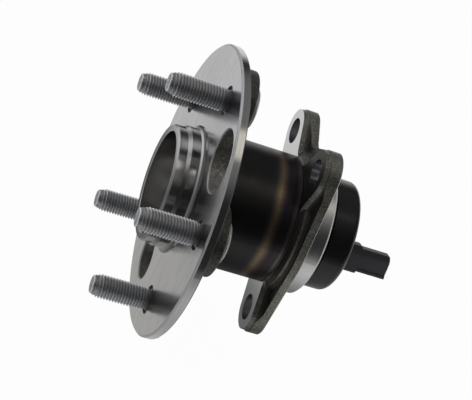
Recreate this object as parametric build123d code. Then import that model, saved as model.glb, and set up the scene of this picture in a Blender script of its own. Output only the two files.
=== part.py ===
"""Non-driven wheel hub bearing unit with a two-row ball bearing and a wheel speed sensor.

Frame: the spin axis is the Y axis and +Z is up. The wheel side, with the studs, faces -Y.
The origin is where the spin axis crosses the face that the wheel bolts against.
Profiles are (radius, y) points, outlines are (x, z) points, and clock angles are in
degrees from +X towards +Z. All lengths are in millimetres.
"""

from build123d import *

import os
from math import acos, cos, degrees, radians, sin

# Wheel flange
WHEEL_FLANGE_RADIUS = 75.5
WHEEL_FLANGE_THICKNESS = 4.8
FLANGE_EDGE_CHAMFER = 1.0
FLANGE_BACK_EDGE_CHAMFER = 0.5
LARGE_ACCESS_HOLE_RADIUS = 15.35
LARGE_ACCESS_HOLE_ANGLE = 36.0
SMALL_ACCESS_HOLE_RADIUS = 12.5
SMALL_ACCESS_HOLE_CIRCLE = 49.0
SMALL_ACCESS_HOLE_ANGLE = 249.0
ACCESS_HOLE_CHAMFER = 0.6

# Wheel pilot, measured back from its nose
PILOT_LENGTH = 13.4
PILOT_BORE_RADIUS = 26.2
PILOT_BORE_DEPTH = 14.4
PILOT_BORE_FLOOR_DEPTH = 17.4
PILOT_BORE_FLOOR_RADIUS = 20.0
PILOT_BORE_CHAMFER = 0.5
WHEEL_PILOT_RADIUS = 29.95
WHEEL_PILOT_LAND = 4.2
PILOT_NOSE_CHAMFER = 0.8
DISC_PILOT_STEP = 1.05
DISC_PILOT_LAND = 4.7
PILOT_STEP_LENGTH = 1.8
PILOT_BASE_STEP = 2.0
PILOT_BASE_LENGTH = 0.4
CENTRE_DRILL_RADIUS = 3.5
CENTRE_DRILL_DEPTH = 3.0

# Wheel studs
STUD_COUNT = 5
STUD_CIRCLE_RADIUS = 57.15
STUD_CLOCK = 10.85
STUD_RADIUS = 6.0
STUD_LENGTH = 29.5
STUD_TIP_RADIUS = 4.6
STUD_TIP_LENGTH = 1.2
STUD_TIP_TAPER = 1.8
STUD_TIP_CHAMFER = 0.4
STUD_NECK_RADIUS = 5.5
STUD_NECK_SETBACK = 0.15
STUD_KNURL_RADIUS = 6.6
STUD_KNURL_SETBACK = 1.2
STUD_HEAD_RADIUS = 10.6
STUD_HEAD_THICKNESS = 3.4
STUD_HEAD_CHAMFER = 0.8
STUD_HOLE_COUNTERSINK = 0.9
STUD_BOSS_RADIUS = 17.6
STUD_BOSS_HEIGHT = 5.0
STUD_BOSS_ROUND = 1.0

# Centre of the hub forging
HUB_BACK_Y = 10.5
HUB_BACK_FACE_RADIUS = 34.0
HUB_BACK_CONE_RADIUS = 46.0

# Ball bearing
BALL_RADIUS = 5.556
BALL_COUNT = 11
BALL_PITCH_RADIUS = 24.0
BALL_CLEARANCE = 0.05
RACE_DAM = 0.4
RACE_SHOULDER = 3.4
LAND_SHOULDER = 2.0
ROW_SPACING = 21.0
OUTER_RING_WALL = 3.8
INNER_RING_WALL = 3.8
INNER_RING_SMALL_SIDE = 11.0
INNER_RING_LARGE_SIDE = 11.5
INNER_RING_CHAMFER = 0.8

# Ball cages
CAGE_WALL = 3.5
CAGE_POCKET_CLEARANCE = 0.15
CAGE_PRONG = 1.8
CAGE_RIM = 2.2

# Outboard seal
LABYRINTH_GAP = 2.0
SEAL_RECESS = 0.3
SEAL_LENGTH = 3.8
SEAL_TO_BALL_GAP = 0.85
SEAL_STEEL = 0.8
SEAL_WALL_DEPTH = 4.2
SEAL_RUBBER = 1.3
SEAL_LIP_GAP = 0.3
SEAL_LIP_WIDTH = 0.6
SEAL_LIP_SETBACK = 1.6
SLINGER_STEEL = 0.6
SLINGER_EDGE_GAP = 0.6
SLINGER_LENGTH = 5.5

# Spindle end, nut and tone ring
SPINDLE_THREAD_RADIUS = 11.0
SPINDLE_PROTRUSION = 2.5
SPINDLE_CHAMFER = 1.2
NUT_HEIGHT = 10.0
NUT_ACROSS_FLATS = 28.0
NUT_CHAMFER = 1.0
NUT_COLLAR_HEIGHT = 1.6
NUT_COLLAR_WALL = 1.4
TONE_RING_STEEL = 0.8
TONE_RING_SLEEVE = 5.0
TONE_RING_REACH = 1.5
TONE_RING_WIDTH = 4.2
TONE_WINDOW_COUNT = 48
TONE_WINDOW_WIDTH = 1.6
TONE_WINDOW_MARGIN = 0.7

# Outer ring and knuckle flange
KNUCKLE_FACE_Y = 60.0
EAR_CIRCLE_RADIUS = 47.25
EAR_CLOCK_WIDE = 62.85
EAR_CLOCK_NARROW = 133.95
EAR_HOLE_RADIUS = 6.75
EAR_WALL = 5.55
EAR_THICKNESS = 9.0
EAR_FRONT_STEP = 0.7
EAR_ROOT_RADIUS = 14.0
EAR_ROOT_FILLET = 7.0
EAR_SCOOP_FILLET = 4.0
WEB_THICKNESS = 4.3
WEB_LEDGE = 4.6
WEB_NARROW_ROOT_RADIUS = 28.0
WEB_VALLEY_FILLET = 8.0
WEB_EDGE_BREAK = 0.4
ROOT_STEP = 3.2
ROOT_LENGTH = 8.8
ROOT_RISE = 2.0
ROOT_ROUND = 1.2
ROOT_FLARE = 1.2
RELIEF_WIDTH = 0.8
RELIEF_DEPTH = 0.5
OUTER_RING_CHAMFER = 0.8
SPIGOT_LENGTH = 9.4
SPIGOT_WALL = 4.5
SPIGOT_CHAMFER = 1.0
SPIGOT_BORE_CHAMFER = 0.6

# Sensor cap
CAP_SEAT_STEP = 0.9
CAP_SEAT_DEPTH = 12.4
CAP_SLEEVE_STEEL = 1.3
CAP_SLEEVE_LENGTH = 7.6
CAP_SLEEVE_RECESS = 1.8
CAP_PROTRUSION = 16.2
CAP_WALL = 1.8
CAP_END_WALL = 3.0
CAP_CORNER_ROUND = 3.0
CAP_GROOVE_SETBACK = 0.5
CAP_GROOVE_WIDTH = 2.3
CAP_GROOVE_DEPTH = 1.0
CAP_FRONT_GAP = 0.3
CAP_NECK_WIDTH = 8.0
CAP_NECK_CORNER = 1.5

# Sensor connector
CONNECTOR_CLOCK = -76.85
CONNECTOR_OFFSET = 7.3
CONNECTOR_WIDTH = 11.6
CONNECTOR_HEIGHT = 11.6
CONNECTOR_INNER_CORNER = 4.0
CONNECTOR_OUTER_CORNER = 1.2
CONNECTOR_LENGTH = 30.4
CONNECTOR_WALL = 1.4
CONNECTOR_BASE_STEP = 1.2
CONNECTOR_BASE_LENGTH = 14.0
CONNECTOR_RAIL_REACH = 0.5
CONNECTOR_RAIL_HEIGHT = 1.4
SOCKET_DEPTH = 14.0
SOCKET_CORNER = 0.6
LATCH_WIDTH = 4.0
LATCH_HEIGHT = 0.7
LATCH_LENGTH = 1.2
TERMINAL_SIZE = 1.0
TERMINAL_OFFSET = 1.7
TERMINAL_RECESS = 6.0
TERMINAL_ROOT = 8.0

# Sensor probe inside the cap
PROBE_RADIUS = 2.5
PROBE_CAP_GAP = 0.8
PROBE_AIR_GAP = 0.7
PROBE_TIP_WALL = 0.5
HOLDER_THICKNESS = 5.0
HOLDER_CLEARANCE = 0.1
POLE_RADIUS = 0.9
POLE_LENGTH = 8.0
COIL_RADIUS = 1.9
COIL_LENGTH = 6.5
COIL_SETBACK = 0.8
MAGNET_LENGTH = 4.0

# Worked out from the sizes above
GROOVE_RADIUS = BALL_RADIUS + BALL_CLEARANCE
SHOULDER_RADIUS = BALL_PITCH_RADIUS - GROOVE_RADIUS + RACE_SHOULDER
SPINDLE_RADIUS = BALL_PITCH_RADIUS - GROOVE_RADIUS + RACE_DAM
INNER_SEAT_RADIUS = SPINDLE_RADIUS - INNER_RING_WALL
OUTER_BORE_RADIUS = BALL_PITCH_RADIUS + GROOVE_RADIUS - RACE_DAM
OUTER_LAND_RADIUS = OUTER_BORE_RADIUS - LAND_SHOULDER
BODY_RADIUS = OUTER_BORE_RADIUS + OUTER_RING_WALL
OUTER_RING_FRONT_Y = HUB_BACK_Y + LABYRINTH_GAP
SEAL_FRONT_Y = OUTER_RING_FRONT_Y + SEAL_RECESS
SEAL_BACK_Y = SEAL_FRONT_Y + SEAL_LENGTH
OUTBOARD_ROW_Y = SEAL_BACK_Y + SEAL_TO_BALL_GAP + BALL_RADIUS
INBOARD_ROW_Y = OUTBOARD_ROW_Y + ROW_SPACING
INNER_RING_FRONT_Y = INBOARD_ROW_Y - INNER_RING_SMALL_SIDE
INNER_RING_BACK_Y = INBOARD_ROW_Y + INNER_RING_LARGE_SIDE
SPINDLE_END_Y = INNER_RING_BACK_Y + NUT_HEIGHT + SPINDLE_PROTRUSION
TONE_FACE_Y = INNER_RING_BACK_Y + TONE_RING_REACH
CAP_SEAT_RADIUS = OUTER_BORE_RADIUS + CAP_SEAT_STEP
CAP_RADIUS = CAP_SEAT_RADIUS - CAP_SLEEVE_STEEL
SPIGOT_RADIUS = CAP_SEAT_RADIUS + SPIGOT_WALL
SPIGOT_END_Y = KNUCKLE_FACE_Y + SPIGOT_LENGTH
CAP_SEAT_Y = SPIGOT_END_Y - CAP_SEAT_DEPTH
CAP_END_Y = SPIGOT_END_Y + CAP_PROTRUSION
CONNECTOR_END_Y = CAP_END_Y + CONNECTOR_LENGTH
CAP_INNER_END_Y = CAP_END_Y - CAP_END_WALL
EAR_RADIUS = EAR_HOLE_RADIUS + EAR_WALL
EAR_CLOCKS = (EAR_CLOCK_WIDE, EAR_CLOCK_NARROW, -EAR_CLOCK_NARROW, -EAR_CLOCK_WIDE)
EAR_FRONT_Y = KNUCKLE_FACE_Y - EAR_THICKNESS
STUD_CLOCKS = tuple(STUD_CLOCK + 360 * turn / STUD_COUNT for turn in range(STUD_COUNT))
WEB_RADIUS = SPIGOT_RADIUS + WEB_LEDGE
STUD_SEAT_Y = WHEEL_FLANGE_THICKNESS + STUD_BOSS_HEIGHT
CAP_FRONT_Y = CAP_SEAT_Y + CAP_FRONT_GAP
CAP_BORE_RADIUS = CAP_RADIUS - CAP_WALL
PROBE_CIRCLE = CAP_BORE_RADIUS - PROBE_CAP_GAP - PROBE_RADIUS
PROBE_TIP_Y = TONE_FACE_Y + PROBE_AIR_GAP
POLE_FRONT_Y = PROBE_TIP_Y + PROBE_TIP_WALL
POLE_BACK_Y = POLE_FRONT_Y + POLE_LENGTH
COIL_FRONT_Y = POLE_FRONT_Y + COIL_SETBACK
COIL_BACK_Y = COIL_FRONT_Y + COIL_LENGTH

# How far cutters run past a face, and how the hollows of an outline are found
THROUGH = 5.0
HOLLOW_PROBE_RADIUS = 0.2
HOLLOW_PROBE_STEP = 10
HOLLOW_SHARE = 0.53


def turned(*profile):
    """Full turn of a closed (radius, y) profile about the spin axis."""
    return revolve(make_face(Polyline(*profile, close=True)), Axis.Y)


def ring(inner_radius, outer_radius, low_y, high_y):
    """Plain ring, or a disc where the inner radius is 0."""
    low_side = ((inner_radius, low_y), (outer_radius, low_y))
    high_side = ((outer_radius, high_y), (inner_radius, high_y))
    return turned(*low_side, *high_side)


def slab(outline, low_y, high_y):
    """Outline drawn in (x, z), thickened from low_y to high_y."""
    return extrude(Plane.XZ.offset(-low_y) * outline, high_y - low_y, dir=(0, 1, 0))


def polar(radius, clock):
    """Position in the (x, z) outline plane at a radius and a clock angle."""
    return Pos(radius * cos(radians(clock)), radius * sin(radians(clock)))


def moved_out(solid, radius, clock):
    """Move a solid that was made on the spin axis out to a radius and turn it to a clock angle."""
    return Rot(0, -clock, 0) * Pos(radius, 0, 0) * solid


def ball_groove(row_y):
    """Ring-shaped cutter of the raceways, which are both concentric with the balls."""
    return Pos(0, row_y, 0) * Rot(90, 0, 0) * Torus(BALL_PITCH_RADIUS, GROOVE_RADIUS)


def round_edges_at(solid, y, size):
    """Fillet the edges of a turned solid that lie in one plane across the axis."""
    return fillet(solid.edges().filter_by_position(Axis.Y, y, y), size)


# ---------------------------------------------------------------- hub side


def hub_profile():
    """Half section of the hub forging: pilot, flange, seal land, raceway and spindle."""
    nose_y = -PILOT_LENGTH
    land_end_y = nose_y + PILOT_NOSE_CHAMFER + WHEEL_PILOT_LAND
    disc_land_y = land_end_y + PILOT_STEP_LENGTH
    disc_radius = WHEEL_PILOT_RADIUS + DISC_PILOT_STEP
    base_y = disc_land_y + DISC_PILOT_LAND
    base_radius = disc_radius + PILOT_BASE_STEP
    return (
        (0, nose_y + PILOT_BORE_FLOOR_DEPTH),
        (PILOT_BORE_FLOOR_RADIUS, nose_y + PILOT_BORE_FLOOR_DEPTH),
        (PILOT_BORE_RADIUS, nose_y + PILOT_BORE_DEPTH),
        (PILOT_BORE_RADIUS, nose_y + PILOT_BORE_CHAMFER),
        (PILOT_BORE_RADIUS + PILOT_BORE_CHAMFER, nose_y),
        (WHEEL_PILOT_RADIUS - PILOT_NOSE_CHAMFER, nose_y),
        (WHEEL_PILOT_RADIUS, nose_y + PILOT_NOSE_CHAMFER),
        (WHEEL_PILOT_RADIUS, land_end_y),
        (disc_radius, disc_land_y),
        (disc_radius, base_y),
        (base_radius, -PILOT_BASE_LENGTH),
        (base_radius, 0),
        (WHEEL_FLANGE_RADIUS - FLANGE_EDGE_CHAMFER, 0),
        (WHEEL_FLANGE_RADIUS, FLANGE_EDGE_CHAMFER),
        (WHEEL_FLANGE_RADIUS, WHEEL_FLANGE_THICKNESS - FLANGE_BACK_EDGE_CHAMFER),
        (WHEEL_FLANGE_RADIUS - FLANGE_BACK_EDGE_CHAMFER, WHEEL_FLANGE_THICKNESS),
        (HUB_BACK_CONE_RADIUS, WHEEL_FLANGE_THICKNESS),
        (HUB_BACK_FACE_RADIUS, HUB_BACK_Y),
        (SHOULDER_RADIUS, HUB_BACK_Y),
        (SHOULDER_RADIUS, OUTBOARD_ROW_Y),
        (SPINDLE_RADIUS, OUTBOARD_ROW_Y),
        (SPINDLE_RADIUS, INNER_RING_FRONT_Y),
        (INNER_SEAT_RADIUS, INNER_RING_FRONT_Y),
        (INNER_SEAT_RADIUS, INNER_RING_BACK_Y - INNER_RING_CHAMFER),
        (SPINDLE_THREAD_RADIUS, INNER_RING_BACK_Y - INNER_RING_CHAMFER),
        (SPINDLE_THREAD_RADIUS, SPINDLE_END_Y - SPINDLE_CHAMFER),
        (SPINDLE_THREAD_RADIUS - SPINDLE_CHAMFER, SPINDLE_END_Y),
        (0, SPINDLE_END_Y),
    )


def hub_flange():
    """Forging that carries the wheel: pilot, flange with its bosses, and spindle."""
    solid = turned(*hub_profile())
    boss = ring(0, STUD_BOSS_RADIUS, 0, STUD_SEAT_Y)
    boss = round_edges_at(boss, STUD_SEAT_Y, STUD_BOSS_ROUND)
    stud_hole = turned(
        (0, -THROUGH),
        (STUD_KNURL_RADIUS + STUD_HOLE_COUNTERSINK + THROUGH, -THROUGH),
        (STUD_KNURL_RADIUS, STUD_HOLE_COUNTERSINK),
        (STUD_KNURL_RADIUS, STUD_SEAT_Y + THROUGH),
        (0, STUD_SEAT_Y + THROUGH),
    )
    for clock in STUD_CLOCKS:
        solid += moved_out(boss, STUD_CIRCLE_RADIUS, clock)
    for clock in STUD_CLOCKS:
        solid -= moved_out(stud_hole, STUD_CIRCLE_RADIUS, clock)
    large_clock = STUD_CLOCK + LARGE_ACCESS_HOLE_ANGLE
    small_clock = STUD_CLOCK + SMALL_ACCESS_HOLE_ANGLE
    solid -= moved_out(access_hole(LARGE_ACCESS_HOLE_RADIUS), STUD_CIRCLE_RADIUS, large_clock)
    solid -= moved_out(access_hole(SMALL_ACCESS_HOLE_RADIUS), SMALL_ACCESS_HOLE_CIRCLE, small_clock)
    solid -= centre_drill()
    return solid - ball_groove(OUTBOARD_ROW_Y)


def access_hole(radius):
    """Cutter of a hole through the wheel flange, broken at its front edge."""
    return turned(
        (0, -THROUGH),
        (radius + ACCESS_HOLE_CHAMFER + THROUGH, -THROUGH),
        (radius, ACCESS_HOLE_CHAMFER),
        (radius, HUB_BACK_Y + THROUGH),
        (0, HUB_BACK_Y + THROUGH),
    )


def centre_drill():
    """Cutter of the turning centre in the floor of the pilot bore."""
    floor_y = PILOT_BORE_FLOOR_DEPTH - PILOT_LENGTH
    return turned((0, floor_y), (CENTRE_DRILL_RADIUS, floor_y), (0, floor_y + CENTRE_DRILL_DEPTH))


def wheel_stud():
    """Serrated wheel stud on the spin axis, with its head against the back of a boss."""
    tip_y = -STUD_LENGTH
    head_y = STUD_SEAT_Y + STUD_HEAD_THICKNESS
    return turned(
        (0, tip_y),
        (STUD_TIP_RADIUS - STUD_TIP_CHAMFER, tip_y),
        (STUD_TIP_RADIUS, tip_y + STUD_TIP_CHAMFER),
        (STUD_TIP_RADIUS, tip_y + STUD_TIP_LENGTH),
        (STUD_RADIUS, tip_y + STUD_TIP_LENGTH + STUD_TIP_TAPER),
        (STUD_RADIUS, STUD_NECK_SETBACK),
        (STUD_NECK_RADIUS, STUD_NECK_SETBACK),
        (STUD_NECK_RADIUS, STUD_KNURL_SETBACK),
        (STUD_KNURL_RADIUS, STUD_KNURL_SETBACK),
        (STUD_KNURL_RADIUS, STUD_SEAT_Y),
        (STUD_HEAD_RADIUS, STUD_SEAT_Y),
        (STUD_HEAD_RADIUS, head_y - STUD_HEAD_CHAMFER),
        (STUD_HEAD_RADIUS - STUD_HEAD_CHAMFER, head_y),
        (0, head_y),
    )


def inner_ring():
    """Pressed-on inner ring of the inboard ball row."""
    solid = turned(
        (INNER_SEAT_RADIUS, INNER_RING_FRONT_Y),
        (SPINDLE_RADIUS, INNER_RING_FRONT_Y),
        (SPINDLE_RADIUS, INBOARD_ROW_Y),
        (SHOULDER_RADIUS, INBOARD_ROW_Y),
        (SHOULDER_RADIUS, INNER_RING_BACK_Y - INNER_RING_CHAMFER),
        (SHOULDER_RADIUS - INNER_RING_CHAMFER, INNER_RING_BACK_Y),
        (INNER_SEAT_RADIUS, INNER_RING_BACK_Y),
    )
    return solid - ball_groove(INBOARD_ROW_Y)


def hub_nut():
    """Hexagon nut that clamps the inner ring, with the thin collar that is staked after tightening."""
    top_y = INNER_RING_BACK_Y + NUT_HEIGHT
    corner_radius = NUT_ACROSS_FLATS / 2 / cos(radians(30))
    hexagon = slab(RegularPolygon(corner_radius, 6), INNER_RING_BACK_Y, top_y)
    envelope = turned(
        (0, INNER_RING_BACK_Y),
        (corner_radius, INNER_RING_BACK_Y),
        (corner_radius, top_y - NUT_CHAMFER),
        (corner_radius - 2 * NUT_CHAMFER, top_y),
        (0, top_y),
    )
    collar = ring(0, SPINDLE_THREAD_RADIUS + NUT_COLLAR_WALL, top_y, top_y + NUT_COLLAR_HEIGHT)
    bore = ring(0, SPINDLE_THREAD_RADIUS, INNER_RING_BACK_Y, SPINDLE_END_Y)
    return (hexagon & envelope) + collar - bore


def tone_ring():
    """Steel ring pressed onto the inner ring, with the windows that the speed sensor counts."""
    sleeve_radius = SHOULDER_RADIUS + TONE_RING_STEEL
    rim_radius = sleeve_radius + TONE_RING_WIDTH
    solid = turned(
        (SHOULDER_RADIUS, TONE_FACE_Y - TONE_RING_SLEEVE),
        (sleeve_radius, TONE_FACE_Y - TONE_RING_SLEEVE),
        (sleeve_radius, TONE_FACE_Y - TONE_RING_STEEL),
        (rim_radius, TONE_FACE_Y - TONE_RING_STEEL),
        (rim_radius, TONE_FACE_Y),
        (SHOULDER_RADIUS, TONE_FACE_Y),
    )
    window_length = TONE_RING_WIDTH - 2 * TONE_WINDOW_MARGIN
    window = polar(sleeve_radius + TONE_RING_WIDTH / 2, 0) * Rectangle(window_length, TONE_WINDOW_WIDTH)
    windows = [Rot(0, 0, 360 * turn / TONE_WINDOW_COUNT) * window for turn in range(TONE_WINDOW_COUNT)]
    return solid - slab(Sketch() + windows, TONE_FACE_Y - 2 * TONE_RING_STEEL, TONE_FACE_Y + TONE_RING_STEEL)


def balls(row_y):
    """One row of balls."""
    ball = Pos(0, row_y, 0) * Rot(90, 0, 0) * Sphere(BALL_RADIUS)
    clocks = [360 * turn / BALL_COUNT for turn in range(BALL_COUNT)]
    return Compound([moved_out(ball, BALL_PITCH_RADIUS, clock) for clock in clocks])


def cage(row_y, side):
    """Crown cage of one row, whose rim lies on the given side of the balls: 1 is +Y, -1 is -Y."""
    prong_y = row_y - side * CAGE_PRONG
    rim_y = row_y + side * (BALL_RADIUS + CAGE_RIM)
    inner_radius = BALL_PITCH_RADIUS - CAGE_WALL / 2
    solid = ring(inner_radius, inner_radius + CAGE_WALL, min(prong_y, rim_y), max(prong_y, rim_y))
    seam_at_open_side = Rot(-90 * side, 90, 0)
    pocket = Pos(0, row_y, 0) * seam_at_open_side * Sphere(BALL_RADIUS + CAGE_POCKET_CLEARANCE)
    for turn in range(BALL_COUNT):
        solid -= moved_out(pocket, BALL_PITCH_RADIUS, 360 * turn / BALL_COUNT)
    return solid


# ------------------------------------------------------------ knuckle side


def outer_ring_profile():
    """Half section of the outer ring without its ears and web, and with plain bores for the ball rows."""
    root_y = KNUCKLE_FACE_Y - ROOT_LENGTH
    root_radius = BODY_RADIUS + ROOT_STEP
    web_front_y = KNUCKLE_FACE_Y - WEB_THICKNESS
    return (
        (OUTER_BORE_RADIUS, OUTER_RING_FRONT_Y),
        (BODY_RADIUS - OUTER_RING_CHAMFER, OUTER_RING_FRONT_Y),
        (BODY_RADIUS, OUTER_RING_FRONT_Y + OUTER_RING_CHAMFER),
        (BODY_RADIUS, root_y - RELIEF_WIDTH),
        (BODY_RADIUS - RELIEF_DEPTH, root_y - RELIEF_WIDTH / 2),
        (BODY_RADIUS, root_y),
        (root_radius, root_y + ROOT_RISE),
        (root_radius, web_front_y - ROOT_FLARE),
        (root_radius + 2 * ROOT_FLARE, web_front_y + ROOT_FLARE),
        (SPIGOT_RADIUS, web_front_y + ROOT_FLARE),
        (SPIGOT_RADIUS, SPIGOT_END_Y - SPIGOT_CHAMFER),
        (SPIGOT_RADIUS - SPIGOT_CHAMFER, SPIGOT_END_Y),
        (CAP_SEAT_RADIUS + SPIGOT_BORE_CHAMFER, SPIGOT_END_Y),
        (CAP_SEAT_RADIUS, SPIGOT_END_Y - SPIGOT_BORE_CHAMFER),
        (CAP_SEAT_RADIUS, CAP_SEAT_Y),
        (OUTER_BORE_RADIUS, CAP_SEAT_Y),
        (OUTER_BORE_RADIUS, INBOARD_ROW_Y),
        (OUTER_LAND_RADIUS, INBOARD_ROW_Y),
        (OUTER_LAND_RADIUS, OUTBOARD_ROW_Y),
        (OUTER_BORE_RADIUS, OUTBOARD_ROW_Y),
    )


def arm_outline(root_radius, ear_radius, clock):
    """Ear disc joined by two tangent lines to a disc of the root radius on the spin axis."""
    spread = degrees(acos((root_radius - ear_radius) / EAR_CIRCLE_RADIUS))
    ear_x = EAR_CIRCLE_RADIUS * cos(radians(clock))
    ear_z = EAR_CIRCLE_RADIUS * sin(radians(clock))
    low = (cos(radians(clock - spread)), sin(radians(clock - spread)))
    high = (cos(radians(clock + spread)), sin(radians(clock + spread)))
    sides = Polyline(
        (root_radius * low[0], root_radius * low[1]),
        (ear_x + ear_radius * low[0], ear_z + ear_radius * low[1]),
        (ear_x + ear_radius * high[0], ear_z + ear_radius * high[1]),
        (root_radius * high[0], root_radius * high[1]),
        close=True,
    )
    return Circle(root_radius) + make_face(sides) + Pos(ear_x, ear_z) * Circle(ear_radius)


def hollows_rounded(outline, size):
    """Round every corner of an outline at which its material fills clearly more than half a turn."""
    hollows = [corner for corner in outline.vertices() if filled_share(outline.face(), corner) > HOLLOW_SHARE]
    return fillet(hollows, size)


def filled_share(face, corner):
    """Share of a small circle round a corner that lies inside a face."""
    clocks = range(0, 360, HOLLOW_PROBE_STEP)
    probes = [Vector(corner) + Vector(HOLLOW_PROBE_RADIUS, 0).rotate(Axis.Z, clock) for clock in clocks]
    return sum(face.is_inside(probe) for probe in probes) / len(probes)


def ears():
    """Four ears and the web between them, without holes.

    The front of each ear is narrower than the web and runs out into it in a deep scoop.
    """
    front = Circle(BODY_RADIUS)
    web = Circle(WEB_RADIUS)
    for clock in EAR_CLOCKS:
        front += arm_outline(EAR_ROOT_RADIUS, EAR_RADIUS - EAR_FRONT_STEP, clock)
        wide = abs(clock) == EAR_CLOCK_WIDE
        web += arm_outline(WEB_RADIUS if wide else WEB_NARROW_ROOT_RADIUS, EAR_RADIUS, clock)
    front = hollows_rounded(front, EAR_ROOT_FILLET)
    web = hollows_rounded(web, WEB_VALLEY_FILLET)
    web_front_y = KNUCKLE_FACE_Y - WEB_THICKNESS
    plate = Circle(EAR_CIRCLE_RADIUS + 2 * EAR_RADIUS)
    blank = slab(plate, web_front_y, KNUCKLE_FACE_Y) + slab(front, EAR_FRONT_Y, web_front_y)
    corners = blank.edges().filter_by_position(Axis.Y, web_front_y, web_front_y).sort_by(SortBy.LENGTH)[:-1]
    column = slab(web, EAR_FRONT_Y, KNUCKLE_FACE_Y)
    back_edges = column.edges().filter_by_position(Axis.Y, KNUCKLE_FACE_Y, KNUCKLE_FACE_Y)
    return fillet(corners, EAR_SCOOP_FILLET) & chamfer(back_edges, WEB_EDGE_BREAK)


def outer_ring():
    """Outer ring of both ball rows, with the ears that bolt to the knuckle and the spigot behind."""
    section = make_face(Polyline(*outer_ring_profile(), close=True))
    ridge = Vector(BODY_RADIUS + ROOT_STEP, KNUCKLE_FACE_Y - ROOT_LENGTH + ROOT_RISE)
    corner = section.vertices().sort_by(lambda vertex: (Vector(vertex) - ridge).length)[0]
    solid = revolve(fillet(corner, ROOT_ROUND), Axis.Y)
    solid += ears() - ring(0, OUTER_BORE_RADIUS + OUTER_RING_WALL / 2, 0, KNUCKLE_FACE_Y)
    hole = ring(0, EAR_HOLE_RADIUS, EAR_FRONT_Y - THROUGH, KNUCKLE_FACE_Y + THROUGH)
    for clock in EAR_CLOCKS:
        solid -= moved_out(hole, EAR_CIRCLE_RADIUS, clock)
    return solid - ball_groove(OUTBOARD_ROW_Y) - ball_groove(INBOARD_ROW_Y)


# ------------------------------------------------------------ outboard seal


def seal_slinger():
    """Steel ring on the hub that the seal lips run against, with an outward flange."""
    sleeve_radius = SHOULDER_RADIUS + SLINGER_STEEL
    flange_radius = OUTER_BORE_RADIUS - SLINGER_EDGE_GAP
    return turned(
        (SHOULDER_RADIUS, HUB_BACK_Y),
        (flange_radius, HUB_BACK_Y),
        (flange_radius, HUB_BACK_Y + SLINGER_STEEL),
        (sleeve_radius, HUB_BACK_Y + SLINGER_STEEL),
        (sleeve_radius, HUB_BACK_Y + SLINGER_LENGTH),
        (SHOULDER_RADIUS, HUB_BACK_Y + SLINGER_LENGTH),
    )


def seal_case():
    """Pressed steel case of the outboard seal, seated in the bore of the outer ring."""
    wall_radius = OUTER_BORE_RADIUS - SEAL_WALL_DEPTH
    return turned(
        (OUTER_BORE_RADIUS, SEAL_FRONT_Y),
        (OUTER_BORE_RADIUS, SEAL_BACK_Y),
        (wall_radius, SEAL_BACK_Y),
        (wall_radius, SEAL_BACK_Y - SEAL_STEEL),
        (OUTER_BORE_RADIUS - SEAL_STEEL, SEAL_BACK_Y - SEAL_STEEL),
        (OUTER_BORE_RADIUS - SEAL_STEEL, SEAL_FRONT_Y),
    )


def seal_lip():
    """Rubber bonded to the seal case, with a radial lip and an axial lip beside the slinger."""
    wall_radius = OUTER_BORE_RADIUS - SEAL_WALL_DEPTH
    radial_lip_radius = SHOULDER_RADIUS + SLINGER_STEEL + SEAL_LIP_GAP
    axial_lip_radius = radial_lip_radius + SEAL_LIP_SETBACK
    axial_lip_y = HUB_BACK_Y + SLINGER_STEEL + SEAL_LIP_GAP
    rubber_front_y = SEAL_BACK_Y - SEAL_STEEL - SEAL_RUBBER
    return turned(
        (radial_lip_radius, rubber_front_y),
        (axial_lip_radius, rubber_front_y),
        (axial_lip_radius, axial_lip_y),
        (axial_lip_radius + SEAL_LIP_WIDTH, axial_lip_y),
        (axial_lip_radius + SEAL_LIP_WIDTH, rubber_front_y),
        (OUTER_BORE_RADIUS - SEAL_STEEL, rubber_front_y),
        (OUTER_BORE_RADIUS - SEAL_STEEL, SEAL_BACK_Y - SEAL_STEEL),
        (wall_radius, SEAL_BACK_Y - SEAL_STEEL),
        (wall_radius, SEAL_BACK_Y),
        (radial_lip_radius + SEAL_LIP_WIDTH, SEAL_BACK_Y),
    )


# ---------------------------------------------------------- cap and sensor


def cap_sleeve():
    """Steel ring moulded round the cap, pressed into the bore of the spigot."""
    front_y = CAP_SEAT_Y + CAP_SLEEVE_RECESS
    return ring(CAP_RADIUS, CAP_SEAT_RADIUS, front_y, front_y + CAP_SLEEVE_LENGTH)


def cap_o_ring():
    """Rubber ring in front of the cap sleeve, in the corner of its seat."""
    section_radius = CAP_SLEEVE_STEEL / 2
    centre_y = CAP_SEAT_Y + CAP_SLEEVE_RECESS / 2
    return Pos(0, centre_y, 0) * Rot(90, 0, 0) * Torus(CAP_RADIUS + section_radius, section_radius)


def connector_section(width, height, inner_corner, outer_corner):
    """Rounded section of the connector, placed in the outline plane and square to its radius."""
    section = Rectangle(width, height)
    section = fillet(section.vertices().group_by(Axis.Y)[-1], inner_corner)
    section = fillet(section.vertices().group_by(Axis.Y)[0], outer_corner)
    return polar(CONNECTOR_OFFSET, CONNECTOR_CLOCK) * Rot(0, 0, CONNECTOR_CLOCK + 90) * section


def neck_section():
    """Section of the connector where it passes through the end wall of the cap."""
    return connector_section(CAP_NECK_WIDTH, CAP_NECK_WIDTH, CAP_NECK_CORNER, CAP_NECK_CORNER)


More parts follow.
